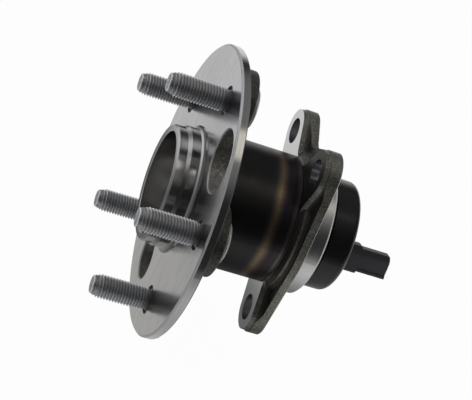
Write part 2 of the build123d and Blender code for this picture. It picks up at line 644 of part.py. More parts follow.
def sensor_cap():
    """Moulded cup that closes the inboard end, with a groove behind the end of the spigot."""
    groove_y = SPIGOT_END_Y + CAP_GROOVE_SETBACK
    cup = turned(
        (CAP_BORE_RADIUS, CAP_FRONT_Y),
        (CAP_RADIUS, CAP_FRONT_Y),
        (CAP_RADIUS, groove_y),
        (CAP_RADIUS - CAP_GROOVE_DEPTH, groove_y),
        (CAP_RADIUS - CAP_GROOVE_DEPTH, groove_y + CAP_GROOVE_WIDTH),
        (CAP_RADIUS, groove_y + CAP_GROOVE_WIDTH),
        (CAP_RADIUS, CAP_END_Y),
        (0, CAP_END_Y),
        (0, CAP_INNER_END_Y),
        (CAP_BORE_RADIUS, CAP_INNER_END_Y),
    )
    cup = round_edges_at(cup, CAP_END_Y, CAP_CORNER_ROUND)
    return cup - slab(neck_section(), CAP_INNER_END_Y - THROUGH, CAP_END_Y + THROUGH)


def connector_housing():
    """Moulded connector on the end of the cap, with an open socket for the cable plug."""
    base = connector_section(
        CONNECTOR_WIDTH + 2 * CONNECTOR_BASE_STEP,
        CONNECTOR_HEIGHT + 2 * CONNECTOR_BASE_STEP,
        CONNECTOR_INNER_CORNER + CONNECTOR_BASE_STEP,
        CONNECTOR_OUTER_CORNER,
    )
    shell = connector_section(
        CONNECTOR_WIDTH, CONNECTOR_HEIGHT, CONNECTOR_INNER_CORNER, CONNECTOR_OUTER_CORNER
    )
    socket = connector_section(
        CONNECTOR_WIDTH - 2 * CONNECTOR_WALL,
        CONNECTOR_HEIGHT - 2 * CONNECTOR_WALL,
        CONNECTOR_INNER_CORNER - CONNECTOR_WALL,
        SOCKET_CORNER,
    )
    rail_offset = CONNECTOR_OFFSET + (CONNECTOR_HEIGHT - CONNECTOR_RAIL_HEIGHT) / 2
    rail = polar(rail_offset, CONNECTOR_CLOCK) * Rot(0, 0, CONNECTOR_CLOCK + 90)
    rail *= Rectangle(CONNECTOR_WIDTH + 2 * CONNECTOR_RAIL_REACH, CONNECTOR_RAIL_HEIGHT)
    latch_offset = CONNECTOR_OFFSET + (CONNECTOR_HEIGHT + LATCH_HEIGHT) / 2
    latch = polar(latch_offset, CONNECTOR_CLOCK) * Rot(0, 0, CONNECTOR_CLOCK + 90)
    latch *= Rectangle(LATCH_WIDTH, LATCH_HEIGHT)
    solid = slab(neck_section(), CAP_INNER_END_Y, CAP_END_Y)
    solid += slab(base, CAP_END_Y, CAP_END_Y + CONNECTOR_BASE_LENGTH)
    solid += slab(shell + rail, CAP_END_Y, CONNECTOR_END_Y)
    solid += slab(latch, CONNECTOR_END_Y - LATCH_LENGTH, CONNECTOR_END_Y)
    solid -= slab(socket, CONNECTOR_END_Y - SOCKET_DEPTH, CONNECTOR_END_Y + THROUGH)
    return solid - connector_terminals()


def connector_terminals():
    """Two square terminal pins, moulded into the base of the socket."""
    place = polar(CONNECTOR_OFFSET, CONNECTOR_CLOCK) * Rot(0, 0, CONNECTOR_CLOCK + 90)
    pin = Rectangle(TERMINAL_SIZE, TERMINAL_SIZE)
    root_y = CONNECTOR_END_Y - SOCKET_DEPTH - TERMINAL_ROOT
    tip_y = CONNECTOR_END_Y - TERMINAL_RECESS
    offsets = (-TERMINAL_OFFSET, TERMINAL_OFFSET)
    return Compound([slab(place * Pos(offset, 0) * pin, root_y, tip_y) for offset in offsets])


def sensor_pole_piece():
    """Iron pin that leads the field of the magnet to the tone ring."""
    return moved_out(ring(0, POLE_RADIUS, POLE_FRONT_Y, POLE_BACK_Y), PROBE_CIRCLE, CONNECTOR_CLOCK)


def sensor_coil():
    """Copper winding round the pole piece."""
    return moved_out(ring(POLE_RADIUS, COIL_RADIUS, COIL_FRONT_Y, COIL_BACK_Y), PROBE_CIRCLE, CONNECTOR_CLOCK)


def sensor_magnet():
    """Magnet behind the pole piece."""
    solid = ring(0, COIL_RADIUS, POLE_BACK_Y, POLE_BACK_Y + MAGNET_LENGTH)
    return moved_out(solid, PROBE_CIRCLE, CONNECTOR_CLOCK)


def sensor_holder():
    """Moulded carrier of the speed sensor: a disc under the cap's end wall and a probe."""
    disc = ring(0, CAP_BORE_RADIUS - HOLDER_CLEARANCE, CAP_INNER_END_Y - HOLDER_THICKNESS, CAP_INNER_END_Y)
    probe = ring(0, PROBE_RADIUS, PROBE_TIP_Y, CAP_INNER_END_Y)
    solid = disc + moved_out(probe, PROBE_CIRCLE, CONNECTOR_CLOCK)
    return solid - sensor_pole_piece() - sensor_coil() - sensor_magnet()


def all_nodes():
    """Every piece of the assembly by its node name."""
    nodes = {
        "hub_flange": hub_flange(),
        "inner_ring": inner_ring(),
        "hub_nut": hub_nut(),
        "tone_ring": tone_ring(),
        "seal_slinger": seal_slinger(),
        "outer_ring": outer_ring(),
        "seal_case": seal_case(),
        "seal_lip": seal_lip(),
        "balls_outboard": balls(OUTBOARD_ROW_Y),
        "cage_outboard": cage(OUTBOARD_ROW_Y, 1),
        "balls_inboard": balls(INBOARD_ROW_Y),
        "cage_inboard": cage(INBOARD_ROW_Y, -1),
        "cap_sleeve": cap_sleeve(),
        "cap_o_ring": cap_o_ring(),
        "sensor_cap": sensor_cap(),
        "sensor_holder": sensor_holder(),
        "sensor_pole_piece": sensor_pole_piece(),
        "sensor_coil": sensor_coil(),
        "sensor_magnet": sensor_magnet(),
        "connector_housing": connector_housing(),
        "connector_terminals": connector_terminals(),
    }
    stud = wheel_stud()
    for number, clock in enumerate(STUD_CLOCKS, 1):
        nodes[f"wheel_stud_{number}"] = moved_out(stud, STUD_CIRCLE_RADIUS, clock)
    return nodes


os.makedirs("parts", exist_ok=True)
for name, shape in all_nodes().items():
    export_step(shape, f"parts/{name}.step")
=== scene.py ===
"""Finishes and fine detail of a non-driven wheel hub bearing unit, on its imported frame.

The spin axis is Y, with the studs towards -Y and the sensor connector towards +Y, and Z is up.
Lengths are in metres, and in millimetres where a name ends in _mm. Clock angles are in degrees,
from +X towards +Z. A name that ends in _turn is about the way a surface faces, from -1 towards
the wheel to 1 towards the knuckle.
"""

import logging
import math
from collections.abc import Iterable, Sequence
from dataclasses import dataclass
from enum import Enum

import bpy
from mathutils import Matrix, Vector


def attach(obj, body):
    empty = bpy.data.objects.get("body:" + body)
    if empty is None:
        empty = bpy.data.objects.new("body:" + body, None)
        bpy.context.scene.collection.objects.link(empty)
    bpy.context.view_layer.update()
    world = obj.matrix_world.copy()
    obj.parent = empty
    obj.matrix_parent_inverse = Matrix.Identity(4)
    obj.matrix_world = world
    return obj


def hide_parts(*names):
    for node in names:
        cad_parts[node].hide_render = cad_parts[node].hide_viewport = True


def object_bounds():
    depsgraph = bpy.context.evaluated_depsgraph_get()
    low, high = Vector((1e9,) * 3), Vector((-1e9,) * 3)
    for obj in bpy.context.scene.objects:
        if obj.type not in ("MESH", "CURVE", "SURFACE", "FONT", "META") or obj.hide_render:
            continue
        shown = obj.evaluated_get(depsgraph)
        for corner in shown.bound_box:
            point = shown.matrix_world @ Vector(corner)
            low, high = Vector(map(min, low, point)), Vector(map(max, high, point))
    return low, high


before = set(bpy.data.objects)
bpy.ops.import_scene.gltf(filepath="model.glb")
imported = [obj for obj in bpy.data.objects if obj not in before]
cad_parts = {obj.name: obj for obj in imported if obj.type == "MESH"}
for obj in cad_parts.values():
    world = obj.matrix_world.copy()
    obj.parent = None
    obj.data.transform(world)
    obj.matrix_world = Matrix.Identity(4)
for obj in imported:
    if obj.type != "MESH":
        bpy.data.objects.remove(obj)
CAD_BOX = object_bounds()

LOG = logging.getLogger("hub_unit")
MM = 0.001
TURN = 2 * math.pi
# Points closer than this are merged into one.
MERGE_MM = 0.001
# Points this close to a cut count as on it.
NEAR_MM = 0.01

Number = float | int
Triple = tuple[float, float, float]
Colour = Triple
# Places, each with its colour.
Stops = Sequence[tuple[float, Colour]]
# Points of an outline, each a radius and a y.
Profile = Sequence[tuple[float, float]]
# A limit, and the width of the soft step there.
Step = tuple[float, float]
# The value at which a change begins, and the one at which it is complete.
Fade = tuple[float, float]
# A lower and an upper limit, and the width of the soft steps there.
Band = tuple[float, float, float]
# The depth of a relief in millimetres, and the share of it that shows.
Relief = tuple[float, float]


class Signal:
    """A number that varies over a surface, written on like a Python number."""

    def __init__(self, graph: "Graph", socket: bpy.types.NodeSocket) -> None:
        """Wrap one output socket of a graph."""
        self.graph = graph
        self.socket = socket

    def _math(self, operation: str, *others: "Signal | Number", flipped: bool = False) -> "Signal":
        """Add one Math node.

        Args:
            operation: The node's operation.
            others: The other operands.
            flipped: Whether this signal is the second operand.

        Returns:
            The node's result.
        """
        operands = [*others, self] if flipped else [self, *others]
        return self.graph.node("ShaderNodeMath", {"operation": operation}, dict(enumerate(operands)))

    def __add__(self, other: "Signal | Number") -> "Signal":
        """Return the sum."""
        return self._math("ADD", other)

    __radd__ = __add__

    def __sub__(self, other: "Signal | Number") -> "Signal":
        """Return the difference."""
        return self._math("SUBTRACT", other)

    def __rsub__(self, other: Number) -> "Signal":
        """Return the difference with this signal taken away."""
        return self._math("SUBTRACT", other, flipped=True)

    def __mul__(self, other: "Signal | Number") -> "Signal":
        """Return the product."""
        return self._math("MULTIPLY", other)

    __rmul__ = __mul__

    def __truediv__(self, other: "Signal | Number") -> "Signal":
        """Return the quotient."""
        return self._math("DIVIDE", other)

    def __abs__(self) -> "Signal":
        """Return the size without its sign."""
        return self._math("ABSOLUTE")

    def __mod__(self, other: Number) -> "Signal":
        """Return the remainder, with the sign of the other operand."""
        return self._math("FLOORED_MODULO", other)

    def sine(self) -> "Signal":
        """Return the sine of this signal in radians."""
        return self._math("SINE")

    def cosine(self) -> "Signal":
        """Return the cosine of this signal in radians."""
        return self._math("COSINE")

    def root(self) -> "Signal":
        """Return the square root."""
        return self._math("SQRT")

    def or_more(self, other: "Signal") -> "Signal":
        """Return the larger of two signals."""
        return self._math("MAXIMUM", other)

    def below(self, limit: Number, soft: Number) -> "Signal":
        """Return 1 under a limit and 0 over it, with a soft step between."""
        return self.between_steps(limit + soft / 2, limit - soft / 2)

    def above(self, limit: Number, soft: Number) -> "Signal":
        """Return 1 over a limit and 0 under it, with a soft step between."""
        return self.between_steps(limit - soft / 2, limit + soft / 2)

    def between_steps(self, zero_at: Number, one_at: Number) -> "Signal":
        """Return a smooth step.

        Args:
            zero_at: The value at which the result is 0.
            one_at: The value at which the result is 1.

        Returns:
            The step, held between 0 and 1.
        """
        settings = {"interpolation_type": "SMOOTHSTEP"}
        values = {"Value": self, "From Min": zero_at, "From Max": one_at}
        return self.graph.node("ShaderNodeMapRange", settings, values)

    def band(self, low: Number, high: Number, soft: Number) -> "Signal":
        """Return 1 between two limits and 0 outside them, with soft steps."""
        return self.above(low, soft) * self.below(high, soft)

    def swing(self, amount: Number) -> "Signal":
        """Return noise from 0 to 1 as a change of up to half an amount either way."""
        return (self - 0.5) * amount

    def wave(self, length: Number) -> "Signal":
        """Return a wave from 0 to 1 that repeats at every length."""
        return (self * (TURN / length)).sine() * 0.5 + 0.5


class Graph:
    """The node tree of one material or world, built from Python expressions."""

    def __init__(self, owner: bpy.types.Material | bpy.types.World) -> None:
        """Start with an empty tree.

        Args:
            owner: The material or world.
        """
        self.owner = owner
        owner.use_nodes = True
        self.tree = owner.node_tree
        self.tree.nodes.clear()

    @classmethod
    def of_material(cls, name: str) -> "Graph":
        """Start a new material and return its graph."""
        return cls(bpy.data.materials.new(name))

    def raw(self, kind: str, settings: dict | None = None, values: dict | None = None) -> bpy.types.Node:
        """Add a node.

        Args:
            kind: The node's type.
            settings: The node's own options, and a ramp's stops under "stops". They are set first.
            values: Numbers, colours, sockets or signals for its inputs, by name or by index.

        Returns:
            The node.
        """
        made = self.tree.nodes.new(kind)
        for key, value in (settings or {}).items():
            if key == "stops":
                self._set_stops(made.color_ramp, value)
            else:
                setattr(made, key, value)
        for key, value in (values or {}).items():
            self.feed(made.inputs[key], value)
        return made

    def node(
        self, kind: str, settings: dict | None = None, values: dict | None = None, output: int | str = 0
    ) -> Signal:
        """Add a node and return one of its outputs, with the same arguments as raw."""
        return Signal(self, self.raw(kind, settings, values).outputs[output])

    def feed(self, socket: bpy.types.NodeSocket, value: object) -> None:
        """Link or set one input socket.

        Args:
            socket: The input.
            value: A signal or output to link, or a fixed value.
        """
        if isinstance(value, Signal):
            self.tree.links.new(value.socket, socket)
        elif isinstance(value, bpy.types.NodeSocket):
            self.tree.links.new(value, socket)
        elif isinstance(value, tuple) and len(value) == 3 and socket.type == "RGBA":
            socket.default_value = (*value, 1.0)
        else:
            socket.default_value = value

    @staticmethod
    def _set_stops(ramp: bpy.types.ColorRamp, stops: Stops) -> None:
        """Give a ramp its stops.

        Args:
            ramp: The ramp.
            stops: The stops, with places from 0 to 1.
        """
        while len(ramp.elements) < len(stops):
            ramp.elements.new(1.0)
        for element, (place, colour) in zip(ramp.elements, stops, strict=True):
            element.position = place
            element.color = (*colour, 1.0)

    def place(self) -> Signal:
        """Return the place on the object, as a vector in metres."""
        return self.node("ShaderNodeTexCoord", output="Object")

    def place_mm(self) -> tuple[Signal, Signal, Signal]:
        """Return x, y and z of the place on the object, in millimetres."""
        return tuple(part / MM for part in self.parts(self.place()))

    def polar_mm(self) -> tuple[Signal, Signal, Signal]:
        """Find the place on the object about the spin axis.

        Returns:
            The distance from the axis, the clock angle in radians, and y.
        """
        x, y, z = self.place_mm()
        clock = self.node("ShaderNodeMath", {"operation": "ARCTAN2"}, {0: z, 1: x})
        return (x * x + z * z).root(), clock, y

    def facing(self, axis: str = "Y") -> Signal:
        """Return how far the surface faces along an axis, from -1 to 1."""
        normal = self.node("ShaderNodeTexCoord", output="Normal")
        return self.node("ShaderNodeSeparateXYZ", values={0: normal}, output=axis)

    def parts(self, vector: Signal) -> tuple[Signal, Signal, Signal]:
        """Return the three parts of a vector."""
        split = self.raw("ShaderNodeSeparateXYZ", values={0: vector})
        return tuple(Signal(self, split.outputs[axis]) for axis in ("X", "Y", "Z"))

    def noise(self, size_mm: float, detail: float = 4.0, at: Signal | None = None) -> Signal:
        """Return noise from 0 to 1.

        Args:
            size_mm: The size of its blotches.
            detail: The number of finer layers.
            at: The place that it is read at, or None for the place on the object.

        Returns:
            The noise.
        """
        values = {"Vector": at or self.place(), "Scale": 1 / (size_mm * MM), "Detail": detail}
        return self.node("ShaderNodeTexNoise", values=values)

    def stretched(self, vector: Signal, factors: Signal | Triple) -> Signal:
        """Return a vector or colour with its parts multiplied by three factors."""
        return self.node("ShaderNodeVectorMath", {"operation": "MULTIPLY"}, {0: vector, 1: factors})

    def combine(self, x: Signal | Number, y: Signal | Number, z: Signal | Number) -> Signal:
        """Return a vector made of three parts."""
        return self.node("ShaderNodeCombineXYZ", values={0: x, 1: y, 2: z})

    def mix(self, share: Signal, low: Signal | Colour, high: Signal | Colour) -> Signal:
        """Mix two colours.

        Args:
            share: How much of the second colour shows.
            low: The first colour.
            high: The second colour.

        Returns:
            The mixed colour.
        """
        made = self.raw("ShaderNodeMix", {"data_type": "RGBA"}, {"Factor": share})
        colours = [socket for socket in made.inputs if socket.type == "RGBA"]
        self.feed(colours[0], low)
        self.feed(colours[1], high)
        return Signal(self, next(socket for socket in made.outputs if socket.type == "RGBA"))

    def ramp(self, value: Signal, stops: Stops) -> Signal:
        """Return a colour read from a ramp."""
        return self.node("ShaderNodeValToRGB", {"stops": stops}, {0: value})

    def bump(self, height: Signal, relief: Relief, base: Signal | None = None) -> Signal:
        """Return a normal that a height disturbs.

        Args:
            height: The height, where 1 is the full depth.
            relief: The depth of the relief and the share of it that shows.
            base: A normal to start from.

        Returns:
            The disturbed normal.
        """
        depth_mm, strength = relief
        values = {"Height": height, "Distance": depth_mm * MM, "Strength": strength}
        if base is not None:
            values["Normal"] = base
        return self.node("ShaderNodeBump", values=values)

    def surface(
        self, varying: dict[str, Signal], constant: dict[str, object] | None = None
    ) -> bpy.types.Material:
        """Finish the material with one principled surface.

        Args:
            varying: Signals for its sockets.
            constant: Fixed values for its sockets.

        Returns:
            The material.
        """
        shader = self.raw("ShaderNodeBsdfPrincipled", values={**(constant or {}), **varying})
        self.raw("ShaderNodeOutputMaterial", values={"Surface": shader.outputs[0]})
        return self.owner


@dataclass(frozen=True)
class Blotches:
    """Noise, cut to the part of its range that shows."""

    size_mm: float
    detail: float
    fade: Fade
    share: float = 1.0

    def on(self, graph: Graph, at: Signal | None = None) -> Signal:
        """Return their strength, from 0 to the share."""
        return graph.noise(self.size_mm, self.detail, at).between_steps(*self.fade) * self.share


@dataclass(frozen=True)
class Mottle:
    """Two tones with blotches between them."""

    dark: Colour
    light: Colour
    blotches: Blotches

    def on(self, graph: Graph) -> Signal:
        """Return the colour."""
        return graph.mix(self.blotches.on(graph), self.dark, self.light)


@dataclass(frozen=True)
class TurningMarks:
    """Noise drawn out round the spin axis, as a lathe leaves it.

    The pull is how far the noise moves, in metres, per millimetre outwards, per radian round and
    per millimetre along the axis.
    """

    size_mm: float
    pull: Triple
    detail: float = 3.0

    def on(self, graph: Graph) -> Signal:
        """Add the noise.

        Args:
            graph: The material's graph.

        Returns:
            The noise, from 0 to 1.
        """
        radius, clock, y = graph.polar_mm()
        outwards, around, along = self.pull
        at = graph.combine(radius * outwards, clock * around, y * along)
        return graph.noise(self.size_mm, self.detail, at)


@dataclass(frozen=True)
class ToneScale:
    """Colours along a length, each at a place in millimetres."""

    stops: tuple[tuple[float, Colour], ...]

    def read(self, graph: Graph, place_mm: Signal) -> Signal:
        """Read the colour at a place.

        Args:
            graph: The material's graph.
            place_mm: The place.

        Returns:
            The colour.
        """
        low, high = self.stops[0][0], self.stops[-1][0]
        stops = [((place - low) / (high - low), tone) for place, tone in self.stops]
        return graph.ramp((place_mm - low) / (high - low), stops)


@dataclass(frozen=True)
class FlangeHole:
    """A round hole through a flange, along Y."""

    clock: float
    circle_mm: float
    radius_mm: float
    wall_mm: Step = (0.12, 0.1)
    mouth_y_mm: Step = (0.55, 0.1)

    @property
    def centre_mm(self) -> tuple[float, float]:
        """Return x and z of the hole's axis."""
        clock = math.radians(self.clock)
        return self.circle_mm * math.cos(clock), self.circle_mm * math.sin(clock)

    def wall(self, graph: Graph) -> Signal:
        """Find the hole's wall.

        Args:
            graph: The material's graph.

        Returns:
            1 on the wall and 0 elsewhere.
        """
        x, y, z = graph.place_mm()
        across, along = x - self.centre_mm[0], z - self.centre_mm[1]
        reach = (across * across + along * along).root()
        margin, soft = self.wall_mm
        return reach.below(self.radius_mm + margin, soft) * y.above(*self.mouth_y_mm)

    @staticmethod
    def any_wall(graph: Graph, holes: Sequence["FlangeHole"]) -> Signal:
        """Return 1 on the wall of any of the holes and 0 elsewhere."""
        walls = [hole.wall(graph) for hole in holes]
        return sum(walls[1:], start=walls[0])


@dataclass(frozen=True)
class StudRing:
    """The circle on which the studs stand, evenly spaced."""

    count: int = 5
    circle_mm: float = 57.15
    first_clock: float = 10.85

    def reach_mm(self, graph: Graph) -> Signal:
        """Measure how far the place on the object is from the nearest stud's axis.

        Args:
            graph: The material's graph.

        Returns:
            The distance in millimetres.
        """
        radius, clock, _ = graph.polar_mm()
        sector = TURN / self.count
        turned = (clock - math.radians(self.first_clock) + sector / 2) % sector - sector / 2
        along = radius * turned.cosine() - self.circle_mm
        across = radius * turned.sine()
        return (along * along + across * across).root()

    def turn(self, index: int) -> Matrix:
        """Return the placing of one stud that is modelled on the spin axis."""
        clock = math.radians(self.first_clock) + TURN / self.count * index
        return Matrix.Rotation(-clock, 4, "Y") @ Matrix.Translation((self.circle_mm * MM, 0, 0))


@dataclass(frozen=True)
class HubSteel:
    """Finish of the hub forging: turned faces, polished pilot, rough hole walls and a forged back."""

    name: str = "hub_turned_steel"

    # Where each surface lies.
    face_turn: Step = (-0.6, 0.2)
    face_mm: Band = (33.4, 74.6, 0.4)
    pilot_y_mm: Step = (-0.05, 0.1)
    bore_mm: Step = (26.4, 0.1)
    bore_y_mm: Step = (4.8, 0.4)
    back_y_mm: Step = (4.5, 0.2)
    spindle_mm: Step = (21.0, 1.0)
    rim_mm: Step = (75.0, 0.3)
    chamfer_turn: Band = (0.3, 0.93, 0.06)
    chamfer_mm: Step = (39.4, 1.0)
    sink_mm: Step = (7.6, 0.1)
    sink_y_mm: Band = (0.05, 4.5, 0.05)
    edge_turn: Step = (0.3, 0.1)
    edge_mm: Step = (74.6, 0.3)

    # The turned faces.
    dull: Colour = (0.40, 0.40, 0.405)
    bright: Colour = (0.54, 0.54, 0.535)
    streaks: TurningMarks = TurningMarks(9.0, (0.004, 0.0006, 0.004))
    streak_contrast: float = 1.6
    cloudy: Colour = (0.39, 0.395, 0.41)
    cloud_size_mm: float = 38.0
    cloud_detail: float = 2.0
    cloud_fade: Fade = (0.35, 0.7)
    cloud_share: float = 0.35
    smear: Colour = (0.30, 0.30, 0.315)
    smears: Blotches = Blotches(5.0, 4.0, (0.42, 0.62), 0.24)
    smear_stretch: Triple = (1.0, 1.0, 0.3)
    # Painted light on the wheel face by height: lighter and warmer low down, darker at mid-height.
    face_painted_light: ToneScale = ToneScale((
        (-75.0, (0.88, 0.865, 0.81)),
        (-15.0, (0.88, 0.865, 0.82)),
        (15.0, (0.72, 0.72, 0.71)),
        (45.0, (0.72, 0.72, 0.735)),
        (75.0, (0.80, 0.80, 0.82)),
    ))

    # The pilot, with its flat rings and conical steps, and its bore. The rings and steps carry painted
    # shade low down, and the steps at their foot too.
    pilot: Colour = (0.50, 0.50, 0.495)
    ring_turn: Step = (-0.9, 0.1)
    ring_low: Colour = (0.085, 0.085, 0.083)
    ring_high: Colour = (0.34, 0.34, 0.34)
    ring_fade_mm: Fade = (8.0, 38.0)
    ring_rough_mm: Step = (30.0, 30.0)
    cone_turn: Band = (-0.9, -0.2, 0.1)
    cone_low: Colour = (0.17, 0.17, 0.168)
    cone_high: Colour = (0.50, 0.50, 0.495)
    cone_fade_mm: Fade = (12.0, 33.0)
    cone_foot_mm: Step = (32.0, 0.4)
    cone_rough: float = 0.5
    bore: Colour = (0.42, 0.415, 0.41)

    # The forged back, the access holes' walls and the painted shade in the sinks round the studs.
    scale: Mottle = Mottle((0.07, 0.067, 0.060), (0.15, 0.146, 0.130), Blotches(1.2, 4.0, (0.3, 0.7)))
    sawn: Mottle = Mottle((0.20, 0.197, 0.185), (0.33, 0.325, 0.305), Blotches(3.0, 3.0, (0.3, 0.7)))
    speckle: Colour = (0.80, 0.77, 0.70)
    speckles: Blotches = Blotches(0.7, 2.0, (0.54, 0.66), 0.8)
    speckle_mm: Step = (20.0, 20.0)
    shadow: Triple = (0.42, 0.42, 0.40)
    shadow_fade_mm: Fade = (44.0, 28.0)
    # Painted shade in the sinks where the studs enter the flange.
    sink_shade: Colour = (0.03, 0.03, 0.03)

    # Roughness and relief.
    roughness: float = 0.22
    roughness_swing: float = 0.1
    rim_polish: float = 0.06
    pilot_polish: float = 0.05
    worn_gain: float = 0.3
    dirt: float = 0.45
    turning_mm: float = 0.35
    turning_relief: Relief = (0.002, 0.35)
    grain_size_mm: float = 0.6
    grain_detail: float = 3.0
    grain_relief: Relief = (0.12, 0.7)

    def material(self, holes: Sequence[FlangeHole]) -> bpy.types.Material:
        """Build the material.

        Args:
            holes: The access holes, whose walls are rough.

        Returns:
            The material.
        """
        graph = Graph.of_material(self.name)
        radius, _, y = graph.polar_mm()
        height = graph.place_mm()[2]
        facing = graph.facing()
        face = facing.below(*self.face_turn) * radius.band(*self.face_mm)
        pilot = y.below(*self.pilot_y_mm) * radius.above(*self.bore_mm)
        back = y.above(*self.back_y_mm) * radius.above(*self.spindle_mm)
        hole = FlangeHole.any_wall(graph, holes)
        rough = hole.or_more(back)
        ring = facing.below(*self.ring_turn) * pilot
        cone = facing.band(*self.cone_turn) * pilot
        streaks = self.streaks.on(graph)
        cloud = graph.noise(self.cloud_size_mm, self.cloud_detail)

        steel = self._turned(graph, streaks, cloud, face, height)
        steel = graph.mix(pilot, steel, self.pilot)
        # The pilot's rings and steps get painted shade low down and at the steps' foot.
        steel = graph.mix(ring, steel, self._ring_tone(graph, height))
        steel = graph.mix(cone, steel, self._cone_tone(graph, radius, height))
        steel = graph.mix(y.below(*self.bore_y_mm) * radius.below(*self.bore_mm), steel, self.bore)
        colour = graph.mix(back, steel, self.scale.on(graph))
        colour = graph.mix(hole, colour, self._hole_tone(graph, height))
        # Painted shade round each stud where it enters the flange.
        sink_shade = StudRing().reach_mm(graph).below(*self.sink_mm) * y.band(*self.sink_y_mm)
        colour = graph.mix(sink_shade, colour, self.sink_shade)
        edge = facing.above(*self.edge_turn) * radius.above(*self.edge_mm)
        colour = graph.mix(edge, colour, self.ring_low)

        polished = radius.above(*self.rim_mm) * self.rim_polish + pilot * self.pilot_polish
        uneven = cloud.swing(self.roughness_swing) + streaks.swing(self.roughness_swing)
        chamfer = abs(facing).band(*self.chamfer_turn) * radius.above(*self.chamfer_mm)
        ring_rough = ring * height.below(*self.ring_rough_mm)
        worn = rough.or_more(chamfer).or_more(ring_rough).or_more(cone * self.cone_rough)
        return graph.surface({
            "Base Color": colour,
            "Roughness": self.roughness - polished + uneven + worn * self.worn_gain,
            "Metallic": 1.0 - rough * self.dirt,
            "Normal": self._normal(graph, radius, face, rough),
        })

    def _turned(
        self, graph: Graph, streaks: Signal, cloud: Signal, face: Signal, height: Signal
    ) -> Signal:
        """Colour the turned steel, with smears, and with painted light up the wheel face: lighter and
        warmer low down, darker at mid-height.

        Args:
            graph: The material's graph.
            streaks: Noise along the turning marks.
            cloud: Broad noise.
            face: 1 on the wheel face.
            height: The height in millimetres.

        Returns:
            The colour.
        """
        steel = graph.mix(streaks.swing(self.streak_contrast) + 0.5, self.dull, self.bright)
        steel = graph.mix(cloud.between_steps(*self.cloud_fade) * self.cloud_share, steel, self.cloudy)
        smear = self.smears.on(graph, graph.stretched(graph.place(), self.smear_stretch))
        steel = graph.mix(smear * face, steel, self.smear)
        # Painted light: the face's tone follows its height.
        face_lit = graph.stretched(steel, self.face_painted_light.read(graph, height))
        return graph.mix(face, steel, face_lit)

    def _ring_tone(self, graph: Graph, height: Signal) -> Signal:
        """Return the colour of the pilot's flat rings, with painted shade low down."""
        return graph.mix(height.between_steps(*self.ring_fade_mm), self.ring_low, self.ring_high)

    def _cone_tone(self, graph: Graph, radius: Signal, height: Signal) -> Signal:
        """Return the colour of the pilot's conical steps, with painted shade low down and at the foot."""
        tone = graph.mix(height.between_steps(*self.cone_fade_mm), self.cone_low, self.cone_high)
        return graph.mix(radius.above(*self.cone_foot_mm), tone, self.ring_low)

    def _hole_tone(self, graph: Graph, height: Signal) -> Signal:
        """Colour the access holes' walls, speckled and dark at the top.

        Args:
            graph: The material's graph.
            height: The height in millimetres.

        Returns:
            The colour.
        """
        speckled = self.speckles.on(graph) * height.above(*self.speckle_mm)
        tone = graph.mix(speckled, self.sawn.on(graph), self.speckle)
        lit = height.between_steps(*self.shadow_fade_mm)
        return graph.mix(lit, graph.stretched(tone, self.shadow), tone)

    def _normal(self, graph: Graph, radius: Signal, face: Signal, rough: Signal) -> Signal:
        """Lay turning rings on the wheel face and grain where the steel is rough.

        Args:
            graph: The material's graph.
            radius: The distance from the spin axis in millimetres.
            face: 1 on the wheel face.
            rough: 1 on rough surfaces.

        Returns:
            The normal.
        """
        turned = graph.bump(radius.wave(self.turning_mm) * face, self.turning_relief)
        grain = graph.noise(self.grain_size_mm, self.grain_detail)
        return graph.bump(grain * rough, self.grain_relief, turned)


